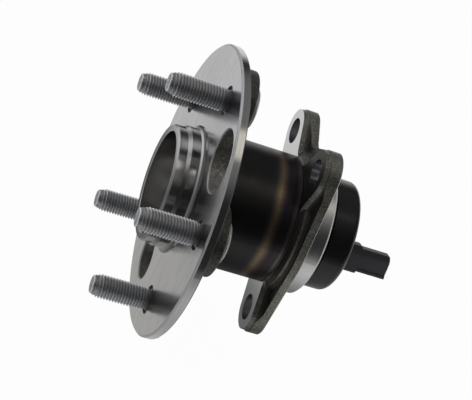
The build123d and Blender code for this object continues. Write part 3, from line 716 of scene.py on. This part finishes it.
@dataclass(frozen=True)
class OxideForging:
    """Finish of the outer ring: black oxide with heat tint, forged sides and ground seats."""

    name: str = "outer_ring_oxide"

    # Where each surface lies.
    pad_turn: Step = (-0.95, 0.04)
    pad_y_mm: Band = (50.9, 51.1, 0.05)
    back_turn: Step = (0.7, 0.1)
    back_y_mm: Band = (59.7, 60.3, 0.1)
    spigot_y_mm: Step = (60.05, 0.05)
    spigot_mm: Step = (34.806, 0.1)
    forged_mm: Step = (33.8, 0.3)
    forged_y_mm: Step = (50.9, 0.1)
    front_mm: Step = (0.0, 8.0)
    ears: tuple[FlangeHole, ...] = tuple(
        FlangeHole(clock, 47.25, 6.75) for clock in (62.85, 133.95, -133.95, -62.85)
    )

    # The oxide on the body, with its heat tints along the spin axis. The light band round 49 to 51 mm is
    # partly heat tint and partly a painted highlight on the shoulder's fillet.
    tint_and_highlight: ToneScale = ToneScale((
        (12.0, (0.029, 0.028, 0.027)),
        (30.0, (0.032, 0.031, 0.031)),
        (35.0, (0.034, 0.031, 0.033)),
        (37.0, (0.038, 0.036, 0.050)),
        (38.4, (0.110, 0.084, 0.058)),
        (40.4, (0.235, 0.190, 0.120)),
        (42.4, (0.130, 0.086, 0.064)),
        (43.8, (0.048, 0.042, 0.062)),
        (45.2, (0.040, 0.034, 0.036)),
        (46.6, (0.060, 0.040, 0.034)),
        (48.0, (0.042, 0.036, 0.052)),
        # These two lighter stops are partly a painted highlight on the shoulder's fillet.
        (49.2, (0.120, 0.104, 0.108)),
        (50.8, (0.170, 0.155, 0.160)),
        (52.0, (0.090, 0.080, 0.070)),
        (58.0, (0.110, 0.100, 0.088)),
    ))
    wander_size_mm: float = 14.0
    wander_detail: float = 2.0
    wander_mm: float = 1.6
    bloom: Colour = (0.047, 0.040, 0.034)
    blooms: Blotches = Blotches(7.0, 4.0, (0.5, 0.7), 0.6)
    bloom_y_mm: Step = (34.0, 12.0)
    black: Colour = (0.029, 0.028, 0.027)
    grain: Blotches = Blotches(0.7, 2.0, (0.4, 0.65), 0.22)

    # The forged sides.
    scale_dark: Colour = (0.12, 0.118, 0.104)
    scale_light: Colour = (0.38, 0.377, 0.337)
    mottle: Blotches = Blotches(5.0, 3.0, (0.3, 0.7), 0.3)
    grit_size_mm: float = 0.62
    grit_detail: float = 2.0
    grit_fade: Fade = (0.38, 0.62)
    grit_share: float = 0.7
    grit_relief: Relief = (0.2, 0.8)
    # Painted shade where the forged sides face the wheel.
    hollow_shade: Colour = (0.075, 0.073, 0.064)
    scoop_turn: Step = (-0.45, 0.3)

    # The ground seats and the ears' holes.
    ground_dark: Colour = (0.60, 0.595, 0.59)
    ground_light: Colour = (0.68, 0.675, 0.665)
    ground_size_mm: float = 3.0
    shaded: Colour = (0.11, 0.11, 0.106)
    bored: Colour = (0.40, 0.39, 0.41)
    edge_tint: Colour = (0.8, 0.8, 0.8)

    # Roughness and sheen.
    roughness: float = 0.34
    marks: TurningMarks = TurningMarks(6.0, (0.001, 0.01, 0.004))
    mark_swing: float = 0.1
    forged_rough: float = 0.1
    ground_polish: float = 0.16
    bored_rough: float = 0.18
    front_polish: float = 0.13
    shaded_rough: float = 0.25
    spigot_rough: float = 0.14
    metallic: float = 0.75
    ground_gain: float = 0.25
    dirt: float = 0.15

    def material(self) -> bpy.types.Material:
        """Build the material.

        Returns:
            The material.
        """
        graph = Graph.of_material(self.name)
        radius, _, y = graph.polar_mm()
        across, _, height = graph.place_mm()
        facing = graph.facing()
        pad = facing.below(*self.pad_turn) * y.band(*self.pad_y_mm)
        back = facing.above(*self.back_turn) * y.band(*self.back_y_mm)
        spigot = y.above(*self.spigot_y_mm) * radius.below(*self.spigot_mm)
        bored = FlangeHole.any_wall(graph, self.ears)
        ground = pad.or_more(back + spigot).or_more(bored)
        forged = radius.above(*self.forged_mm) * y.above(*self.forged_y_mm)
        rough = forged * (1.0 - ground)
        front = across.above(*self.front_mm) * height.above(*self.front_mm)
        shaded = pad * front
        grit = graph.noise(self.grit_size_mm, self.grit_detail)

        bright = graph.mix(graph.noise(self.ground_size_mm), self.ground_dark, self.ground_light)
        bright = graph.mix(shaded, bright, self.shaded)
        bright = graph.mix(bored, bright, self.bored)
        colour = graph.mix(forged, self._oxide(graph, y), self._scale(graph, facing, grit))
        colour = graph.mix(ground, colour, bright)

        roughness = self.roughness + self.marks.on(graph).swing(self.mark_swing)
        roughness = roughness + rough * self.forged_rough - ground * self.ground_polish
        roughness = roughness + bored * (self.bored_rough - front * self.front_polish)
        roughness = roughness + shaded * self.shaded_rough + spigot * self.spigot_rough
        varying = {
            "Base Color": colour,
            "Roughness": roughness,
            "Metallic": self.metallic + ground * self.ground_gain - rough * self.dirt,
            "Normal": graph.bump(grit * rough, self.grit_relief),
        }
        return graph.surface(varying, {"Specular Tint": self.edge_tint})

    def _oxide(self, graph: Graph, y: Signal) -> Signal:
        """Colour the body: black oxide, tinted by the heat of hardening, with a painted highlight on the
        shoulder's fillet.

        Args:
            graph: The material's graph.
            y: The place along the spin axis in millimetres.

        Returns:
            The colour.
        """
        wander = graph.noise(self.wander_size_mm, self.wander_detail).swing(self.wander_mm)
        tinted = self.tint_and_highlight.read(graph, y + wander)
        tinted = graph.mix(self.blooms.on(graph) * y.below(*self.bloom_y_mm), tinted, self.bloom)
        return graph.mix(self.grain.on(graph), tinted, self.black)

    def _scale(self, graph: Graph, facing: Signal, grit: Signal) -> Signal:
        """Colour the forged sides, gritty, with painted shade in the hollows that face the wheel.

        Args:
            graph: The material's graph.
            facing: How far the surface faces the knuckle.
            grit: Fine noise.

        Returns:
            The colour.
        """
        gritty = self.mottle.on(graph) + grit.between_steps(*self.grit_fade) * self.grit_share
        scale = graph.mix(gritty, self.scale_dark, self.scale_light)
        # Painted shade on forged faces that turn towards the wheel.
        return graph.mix(facing.below(*self.scoop_turn), scale, self.hollow_shade)


@dataclass(frozen=True)
class StudZinc:
    """Zinc plating of the studs, dark in the thread and worn bright on its crests."""

    name: str = "stud_zinc"
    crest_fade_mm: Fade = (5.35, 5.93)
    tip_y_mm: Step = (-28.0, 0.6)
    tip_edge_mm: Band = (4.0, 4.62, 0.2)
    tip_edge_y_mm: Step = (-28.8, 0.2)
    neck_y_mm: Step = (-0.6, 0.6)
    head_y_mm: Step = (5.0, 0.6)
    groove: Colour = (0.42, 0.423, 0.435)
    crest: Colour = (0.68, 0.69, 0.72)
    tip: Mottle = Mottle((0.22, 0.222, 0.23), (0.44, 0.445, 0.46), Blotches(1.3, 2.0, (0.45, 0.6)))
    # The neck, where the stud enters its hole, is darkened: painted shade.
    neck_shade: Colour = (0.22, 0.222, 0.23)
    head: Colour = (0.66, 0.66, 0.645)
    wear: Blotches = Blotches(0.7, 3.0, (0.3, 0.6), 0.4)
    least_wear: float = 0.6
    roughness: float = 0.52
    crest_polish: float = 0.1
    metallic: float = 0.9
    head_dirt: float = 0.6
    plating_size_mm: float = 0.5
    plating_detail: float = 3.0
    plating_relief: Relief = (0.02, 0.5)

    def material(self) -> bpy.types.Material:
        """Build the material.

        Returns:
            The material.
        """
        graph = Graph.of_material(self.name)
        y = graph.place_mm()[1]
        reach = StudRing().reach_mm(graph)
        crest = reach.between_steps(*self.crest_fade_mm) * (self.wear.on(graph) + self.least_wear)
        edge = reach.band(*self.tip_edge_mm) * y.below(*self.tip_edge_y_mm)
        head = y.above(*self.head_y_mm)
        colour = graph.mix(crest, self.groove, self.crest)
        colour = graph.mix(y.below(*self.tip_y_mm), colour, self.tip.on(graph))
        colour = graph.mix(edge, colour, self.crest)
        # Painted shade on the neck where the stud enters its hole.
        colour = graph.mix(y.above(*self.neck_y_mm), colour, self.neck_shade)
        colour = graph.mix(head, colour, self.head)
        plating = graph.noise(self.plating_size_mm, self.plating_detail)
        return graph.surface({
            "Base Color": colour,
            "Roughness": self.roughness - crest * self.crest_polish,
            "Metallic": self.metallic - head * self.head_dirt,
            "Normal": graph.bump(plating, self.plating_relief),
        })


class Steel(Enum):
    """Tones of steel, as base colours."""

    GROUND = (0.66, 0.65, 0.64)
    ZINC = (0.36, 0.37, 0.39)
    SHEET = (0.45, 0.45, 0.46)
    POLISHED = (0.78, 0.79, 0.80)


@dataclass(frozen=True)
class PlainMetal:
    """A bare or plated metal with slight mottling."""

    name: str
    colour: Colour
    roughness: float
    metallic: float = 1.0
    grain_mm: float = 1.2
    grain_detail: float = 4.0
    grain_fade: Fade = (0.3, 0.7)
    relief: Relief = (0.01, 0.6)
    contrast: float = 0.2
    roughness_swing: float = 0.15

    def material(self) -> bpy.types.Material:
        """Build the material.

        Returns:
            The material.
        """
        graph = Graph.of_material(self.name)
        mottle = graph.noise(self.grain_mm, self.grain_detail)
        dark = tuple(part * (1 - self.contrast) for part in self.colour)
        light = tuple(min(1.0, part * (1 + self.contrast)) for part in self.colour)
        varying = {
            "Base Color": graph.mix(mottle.between_steps(*self.grain_fade), dark, light),
            "Roughness": self.roughness + mottle.swing(self.roughness_swing),
            "Normal": graph.bump(mottle, self.relief),
        }
        return graph.surface(varying, {"Metallic": self.metallic})


@dataclass(frozen=True)
class Moulded:
    """A moulded plastic or rubber with a fine spark-eroded grain, and painted shade on upward faces where
    the top share is below 1.
    """

    name: str
    colour: Colour
    roughness: float = 0.4
    grain_mm: float = 0.5
    grain_detail: float = 3.0
    cloud_mm: float = 12.0
    cloud_detail: float = 2.0
    relief: Relief = (0.01, 0.5)
    contrast: float = 0.15
    roughness_swing: float = 0.12
    # Share of the colour left on upward faces: below 1 it is painted shade on the tops.
    top_shade: float = 1.0
    upper_step: Step = (0.6, 0.4)
    gloss: float = 0.5

    def material(self) -> bpy.types.Material:
        """Build the material.

        Returns:
            The material.
        """
        graph = Graph.of_material(self.name)
        cloud = graph.noise(self.cloud_mm, self.cloud_detail)
        dark = tuple(part * (1 - self.contrast) for part in self.colour)
        light = tuple(part * (1 + self.contrast) for part in self.colour)
        colour = graph.mix(cloud, dark, light)
        # Upward faces are darkened by the top share: painted shade.
        upward = graph.facing("Z").above(*self.upper_step)
        varying = {
            "Base Color": graph.mix(upward, colour, graph.stretched(colour, (self.top_shade,) * 3)),
            "Roughness": self.roughness + cloud.swing(self.roughness_swing),
            "Normal": graph.bump(graph.noise(self.grain_mm, self.grain_detail), self.relief),
        }
        return graph.surface(varying, {"Specular IOR Level": self.gloss})


def select_only(piece: bpy.types.Object) -> None:
    """Make one object the only one that operators act on.

    Args:
        piece: The object.
    """
    bpy.ops.object.select_all(action="DESELECT")
    piece.select_set(True)
    bpy.context.view_layer.objects.active = piece


def dress(nodes: Iterable[str], material: bpy.types.Material) -> None:
    """Give CAD nodes one material.

    Args:
        nodes: The nodes' names.
        material: The material.
    """
    for node in nodes:
        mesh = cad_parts[node].data
        mesh.materials.clear()
        mesh.materials.append(material)
        LOG.info("dressed %s", node)


@dataclass
class ThreadedStud:
    """A wheel stud with a rolled thread, modelled once and copied to its five places.

    A flank leaves the root and reaches the crest at two shares of the pitch. The spare turns are
    swept past both ends of the thread and trimmed off.
    """

    body: str = "hub"
    slot: str = "zinc_steel"
    ring: StudRing = StudRing()
    pitch_mm: float = 1.5
    crest_mm: float = 5.97
    root_mm: float = 5.10
    flank_share: tuple[float, float] = (0.12, 0.44)
    thread_y_mm: tuple[float, float] = (-28.1, 0.1)
    spare_turns: int = 2
    lead_mm: float = 3.0
    lead_scale: float = 0.80
    steps: int = 48
    smooth_degrees: float = 38.0
    tip_mm: Profile = (
        (0.0, -29.5), (4.1, -29.5), (4.45, -29.3), (4.6, -29.0), (4.65, -28.4), (5.05, -26.9),
        (5.0, -25.5), (0.0, -25.0),
    )
    shank_mm: Profile = (
        (0.0, -1.0), (5.0, -0.8), (5.0, 0.0), (5.4, 0.2), (5.4, 1.2), (6.6, 1.2), (6.6, 9.8), (10.6, 9.8),
        (10.6, 12.4), (9.8, 13.2), (7.0, 13.2), (6.4, 12.9), (0.0, 12.9),
    )

    def build(self, material: bpy.types.Material) -> None:
        """Model the stud, dress it and place its copies.

        Args:
            material: The finish of the studs.
        """
        pattern = self._model()
        pattern.data.materials.append(material)
        for index in range(self.ring.count):
            piece = pattern if index == self.ring.count - 1 else pattern.copy()
            if piece is not pattern:
                piece.data = pattern.data.copy()
                bpy.context.scene.collection.objects.link(piece)
            piece.name = f"threaded_stud_{index + 1}"
            piece.data.transform(self.ring.turn(index))
            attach(piece, self.body)
            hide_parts(f"wheel_stud_{index + 1}")
            LOG.info("placed %s", piece.name)

    def _model(self) -> bpy.types.Object:
        """Model one stud on the spin axis.

        Returns:
            The stud.
        """
        thread = self._thread()
        ends = [self._turned("stud_tip", self.tip_mm), self._turned("stud_shank", self.shank_mm)]
        select_only(thread)
        for end in ends:
            end.select_set(True)
        bpy.ops.object.join()
        bpy.ops.object.shade_smooth_by_angle(angle=math.radians(self.smooth_degrees))
        return thread

    def _thread(self) -> bpy.types.Object:
        """Sweep one thread tooth along its helix, trim both ends and draw the start in.

        Returns:
            The thread.
        """
        pitch = self.pitch_mm
        foot, top = (share * pitch for share in self.flank_share)
        tooth = [
            (self.root_mm, 0.0), (self.root_mm, foot), (self.crest_mm, top),
            (self.crest_mm, pitch - top), (self.root_mm, pitch - foot), (self.root_mm, pitch),
        ]
        first, last = self.thread_y_mm
        start = first - self.spare_turns * pitch
        piece = draw_chain("stud_thread", [(radius, start + y) for radius, y in tooth])
        turns = math.ceil((last - start) / pitch) + self.spare_turns
        spin_chain(piece, self.steps, screw=pitch * MM, turns=turns)
        trim(piece, first, keep_above=True)
        trim(piece, last, keep_above=False)
        draw_in(piece, first, self.lead_mm, self.lead_scale)
        return piece

    def _turned(self, name: str, profile: Profile) -> bpy.types.Object:
        """Turn a profile about the spin axis.

        Args:
            name: The piece's name.
            profile: Its outline.

        Returns:
            The piece.
        """
        piece = draw_chain(name, profile)
        spin_chain(piece, self.steps)
        return piece


@dataclass
class BackWeb:
    """Forged web behind the wheel flange, which deepens the walls of the access holes."""

    body: str = "hub"
    slot: str = "machined_forging"
    steps: int = 128
    setback_mm: float = 0.02
    cutter_mm: float = 40.0
    smooth_degrees: float = 30.0
    profile_mm: Profile = (
        (33.5, 4.0), (33.5, 9.0), (34.0, 10.42), (35.0, 10.42), (60.5, 7.2), (62.5, 6.5), (64.5, 4.6),
        (63.9, 4.0), (33.5, 4.0),
    )

    def build(self, holes: Sequence[FlangeHole], material: bpy.types.Material) -> None:
        """Turn the web, bore the access holes through it and dress it.

        Args:
            holes: The access holes.
            material: The finish of the hub forging.
        """
        piece = draw_chain("flange_back_web", self.profile_mm)
        spin_chain(piece, self.steps)
        for hole in holes:
            self._bore(piece, hole)
        bpy.ops.object.shade_smooth_by_angle(angle=math.radians(self.smooth_degrees))
        piece.data.materials.append(material)
        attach(piece, self.body)
        LOG.info("made %s", piece.name)

    def _bore(self, piece: bpy.types.Object, hole: FlangeHole) -> None:
        """Cut one hole through the web, just behind the wall of the flange's own hole.

        Args:
            piece: The web.
            hole: The hole.
        """
        x_mm, z_mm = hole.centre_mm
        bpy.ops.object.select_all(action="DESELECT")
        bpy.ops.mesh.primitive_cylinder_add(
            vertices=self.steps, radius=(hole.radius_mm + self.setback_mm) * MM, depth=self.cutter_mm * MM,
            location=(x_mm * MM, 0, z_mm * MM), rotation=(math.pi / 2, 0, 0),
        )
        cutter = bpy.context.active_object
        select_only(piece)
        modifier = piece.modifiers.new("bore", "BOOLEAN")
        modifier.operation, modifier.solver, modifier.object = "DIFFERENCE", "EXACT", cutter
        bpy.ops.object.modifier_apply(modifier=modifier.name)
        bpy.data.objects.remove(cutter)


def draw_chain(name: str, points_mm: Profile) -> bpy.types.Object:
    """Draw a chain of edges by extruding one vertex from point to point.

    Args:
        name: The piece's name.
        points_mm: The chain's (radius, y) points.

    Returns:
        The piece.
    """
    bpy.ops.object.select_all(action="DESELECT")
    radius, y = points_mm[0]
    bpy.ops.mesh.primitive_plane_add(size=MM, location=(radius * MM, y * MM, 0))
    piece = bpy.context.active_object
    piece.name = name
    bpy.ops.object.transform_apply(location=True, rotation=True, scale=True)
    bpy.ops.object.mode_set(mode="EDIT")
    bpy.ops.mesh.select_mode(type="VERT")
    bpy.ops.mesh.select_all(action="SELECT")
    bpy.ops.mesh.merge(type="CENTER")
    for (radius, y), (next_radius, next_y) in zip(points_mm, points_mm[1:]):
        step = ((next_radius - radius) * MM, (next_y - y) * MM, 0)
        bpy.ops.mesh.extrude_vertices_move(TRANSFORM_OT_translate={"value": step})
    bpy.ops.object.mode_set(mode="OBJECT")
    return piece


def spin_chain(piece: bpy.types.Object, steps: int, screw: float = 0.0, turns: int = 1) -> None:
    """Sweep a chain round the spin axis.

    Args:
        piece: The chain, which becomes the swept surface.
        steps: The number of steps in a turn.
        screw: How far the chain climbs in a turn, in metres.
        turns: The number of turns.
    """
    select_only(piece)
    modifier = piece.modifiers.new("sweep", "SCREW")
    modifier.axis = "Y"
    modifier.steps = modifier.render_steps = steps
    modifier.screw_offset = screw
    modifier.iterations = turns
    modifier.use_merge_vertices = True
    modifier.merge_threshold = MERGE_MM * MM
    bpy.ops.object.modifier_apply(modifier=modifier.name)
    bpy.ops.object.mode_set(mode="EDIT")
    bpy.ops.mesh.select_all(action="SELECT")
    bpy.ops.mesh.remove_doubles(threshold=MERGE_MM * MM)
    bpy.ops.mesh.normals_make_consistent(inside=False)
    bpy.ops.object.mode_set(mode="OBJECT")


def trim(piece: bpy.types.Object, y_mm: float, keep_above: bool) -> None:
    """Cut a piece across the spin axis and close the cut.

    Args:
        piece: The piece.
        y_mm: Where the cut is.
        keep_above: Whether the side towards +Y stays.
    """
    select_only(piece)
    bpy.ops.object.mode_set(mode="EDIT")
    bpy.ops.mesh.select_all(action="SELECT")
    bpy.ops.mesh.bisect(
        plane_co=(0, y_mm * MM, 0), plane_no=(0, 1, 0), use_fill=True,
        clear_inner=keep_above, clear_outer=not keep_above,
    )
    bpy.ops.object.mode_set(mode="OBJECT")


def draw_in(piece: bpy.types.Object, y_mm: float, length_mm: float, scale: float) -> None:
    """Make the first turns of a thread thinner towards its end.

    Args:
        piece: The thread, on the spin axis.
        y_mm: Where the thread begins.
        length_mm: How far in the change reaches.
        scale: The share of the radius that is left at the end.
    """
    select_only(piece)
    for vertex in piece.data.vertices:
        vertex.select = vertex.co.y < (y_mm + NEAR_MM) * MM
    bpy.ops.object.mode_set(mode="EDIT")
    bpy.ops.mesh.select_mode(type="VERT")
    bpy.ops.transform.resize(
        value=(scale, 1, scale), center_override=(0, y_mm * MM, 0), use_proportional_edit=True,
        proportional_edit_falloff="LINEAR", proportional_size=length_mm * MM,
    )
    bpy.ops.object.mode_set(mode="OBJECT")


@dataclass(frozen=True)
class Softbox:
    """A square lamp that faces the object."""

    name: str
    towards: Triple
    size: float
    brightness: float
    colour: Colour = (1.0, 1.0, 1.0)
    distance: float = 0.9

    def build(self) -> None:
        """Hang the lamp."""
        data = bpy.data.lights.new(self.name, "AREA")
        data.size = self.size
        data.energy = self.brightness * math.pi * self.size**2
        data.color = self.colour
        light = bpy.data.objects.new(self.name, data)
        bpy.context.scene.collection.objects.link(light)
        way = Vector(self.towards).normalized()
        light.location = way * self.distance
        light.rotation_euler = way.to_track_quat("Z", "Y").to_euler()


@dataclass(frozen=True)
class Studio:
    """White table, soft lamps, dim room and camera.

    Lengths without a unit in their name are in metres. The table, foot and near shades are what
    polished metal sees of the floor, and the backdrop and ceiling what it sees of the room.
    """

    floor_size: float = 12.0
    floor_tone: Colour = (0.90, 0.90, 0.90)
    floor_white: float = 0.975
    table_edge: Fade = (0.26, 0.10)
    foot_centre: tuple[float, float] = (-0.010, 0.035)
    foot_front: Fade = (0.008, 0.028)
    foot_shade: Fade = (0.11, 0.035)
    foot_depth: float = 0.72
    near_shade: Fade = (0.28, 0.05)
    near_depth: float = 0.32
    backdrop: float = 0.90
    backdrop_side: Fade = (0.6, 0.1)
    backdrop_top: Fade = (0.42, 0.15)
    ceiling: float = 0.2
    ceiling_foot: Fade = (0.45, 0.8)
    room: float = 0.03
    eye_mm: Triple = (581.418, -163.851, 323.858)
    right: Triple = (0.09068705, 0.91847254, 0.38494681)
    up: Triple = (-0.53309695, -0.28172287, 0.79777182)
    lens_mm: float = 105.475
    sensor_mm: float = 36.0
    clip: tuple[float, float] = (0.01, 50.0)
    lamps: tuple[Softbox, ...] = (
        Softbox("key", (-0.35, -0.65, 0.68), 0.9, 0.85),
        Softbox("top", (0.30, 0.28, 0.91), 0.28, 0.9, (1.0, 0.93, 0.82)),
    )

    def build(self) -> None:
        """Set the scene up."""
        self._floor()
        self._world()
        for lamp in self.lamps:
            lamp.build()
        self._camera()
        bpy.context.scene.view_settings.view_transform = "Standard"

    def _floor(self) -> None:
        """Lay a pale floor under the lowest point, which looks white and keeps the shadow.

        Polished metal sees it as a white table that ends towards the front of the room.
        """
        bpy.ops.object.select_all(action="DESELECT")
        bpy.ops.mesh.primitive_plane_add(size=self.floor_size, location=(0, 0, CAD_BOX[0].z))
        floor = bpy.context.active_object
        floor.name = "studio_floor"
        graph = Graph.of_material("studio_floor")
        x, y, _ = graph.parts(graph.place())
        across, along = x - self.foot_centre[0], y - self.foot_centre[1]
        shade = (across * across + along * along).root().between_steps(*self.foot_shade)
        shade = shade * y.between_steps(*self.foot_front) * self.foot_depth
        near = (x * x + y * y).root().between_steps(*self.near_shade) * self.near_depth
        table = x.between_steps(*self.table_edge) * (1.0 - shade) * (1.0 - near)
        table = table * self.backdrop + self.room
        camera, mirror, _ = self._rays(graph)
        pale = graph.raw("ShaderNodeBsdfDiffuse", values={"Color": self.floor_tone})
        glow = graph.raw("ShaderNodeEmission", values={"Strength": camera + mirror * table})
        share = (camera + mirror) * self.floor_white
        mixed = graph.raw("ShaderNodeMixShader", values={0: share, 1: pale.outputs[0], 2: glow.outputs[0]})
        graph.raw("ShaderNodeOutputMaterial", values={"Surface": mixed.outputs[0]})
        floor.data.materials.append(graph.owner)

    def _world(self) -> None:
        """Surround the object with a low white backdrop and a dim room, seen by the camera as white."""
        world = bpy.data.worlds.new("studio")
        bpy.context.scene.world = world
        graph = Graph(world)
        x, _, z = graph.parts(graph.node("ShaderNodeTexCoord", output="Generated"))
        behind = x.between_steps(*self.backdrop_side)
        light = z.between_steps(*self.backdrop_top) * behind * self.backdrop
        light = light + z.between_steps(*self.ceiling_foot) * self.ceiling + self.room
        camera, _, glass = self._rays(graph)
        white = camera + glass
        strength = white + (1.0 - white) * light
        glow = graph.raw("ShaderNodeBackground", values={"Color": (1.0, 1.0, 1.0), "Strength": strength})
        graph.raw("ShaderNodeOutputWorld", values={"Surface": glow.outputs[0]})

    @staticmethod
    def _rays(graph: Graph) -> tuple[Signal, Signal, Signal]:
        """Tell the kinds of ray apart.

        Args:
            graph: The graph that asks.

        Returns:
            1 for rays of the camera, of mirror reflections, and through glass.
        """
        path = graph.raw("ShaderNodeLightPath")
        names = ("Is Camera Ray", "Is Glossy Ray", "Is Transmission Ray")
        return tuple(Signal(graph, path.outputs[name]) for name in names)

    def _camera(self) -> None:
        """Add the camera at its fitted place."""
        data = bpy.data.cameras.new("camera")
        data.lens = self.lens_mm
        data.sensor_width = self.sensor_mm
        data.clip_start, data.clip_end = self.clip
        camera = bpy.data.objects.new("camera", data)
        bpy.context.scene.collection.objects.link(camera)
        right, up = Vector(self.right), Vector(self.up)
        turn = Matrix((right, up, right.cross(up))).transposed().to_4x4()
        camera.matrix_world = Matrix.Translation(Vector(self.eye_mm) * MM) @ turn
        bpy.context.scene.camera = camera


# The large and the small hole through the wheel flange.
ACCESS_HOLES = (FlangeHole(46.85, 57.15, 15.35), FlangeHole(259.85, 49.0, 12.5))
# Finishes without places of their own, each with the nodes that wear it.
PLAIN_FINISHES: tuple[tuple[PlainMetal | Moulded, tuple[str, ...]], ...] = (
    (
        PlainMetal(
            "nut_zinc", Steel.ZINC.value, 0.42, metallic=0.9, grain_mm=0.8, relief=(0.02, 0.6),
            contrast=0.25,
        ),
        ("hub_nut",),
    ),
    (
        PlainMetal("pressed_sheet", Steel.SHEET.value, 0.3),
        ("tone_ring", "seal_slinger", "seal_case", "cap_sleeve", "sensor_pole_piece"),
    ),
    (PlainMetal("bearing_steel", Steel.GROUND.value, 0.22), ("inner_ring", "sensor_magnet")),
    (PlainMetal("ball_steel", Steel.POLISHED.value, 0.08), ("balls_outboard", "balls_inboard")),
    (Moulded("cage_nylon", (0.60, 0.56, 0.46)), ("cage_outboard", "cage_inboard", "sensor_holder")),
    (Moulded("seal_rubber", (0.02, 0.02, 0.02), 0.5), ("seal_lip", "cap_o_ring")),
    (Moulded("cap_plastic", (0.018, 0.018, 0.021), 0.27, gloss=0.34), ("sensor_cap",)),
    # The connector's tops carry painted shade.
    (Moulded("connector_plastic", (0.125, 0.116, 0.138), 0.45, top_shade=0.22), ("connector_housing",)),
    (PlainMetal("copper", (0.72, 0.42, 0.22), 0.3), ("sensor_coil", "connector_terminals")),
)


def main() -> None:
    """Dress the hub unit, model what the CAD leaves plain and set up the studio."""
    logging.basicConfig(level=logging.INFO, format="%(name)s: %(message)s")
    hub_steel = HubSteel().material(ACCESS_HOLES)
    dress(["hub_flange"], hub_steel)
    BackWeb().build(ACCESS_HOLES, hub_steel)
    dress(["outer_ring"], OxideForging().material())
    zinc = StudZinc().material()
    ThreadedStud().build(zinc)
    dress([f"wheel_stud_{index + 1}" for index in range(StudRing().count)], zinc)
    for finish, nodes in PLAIN_FINISHES:
        dress(nodes, finish.material())
    Studio().build()


if __name__ == "__main__":
    main()
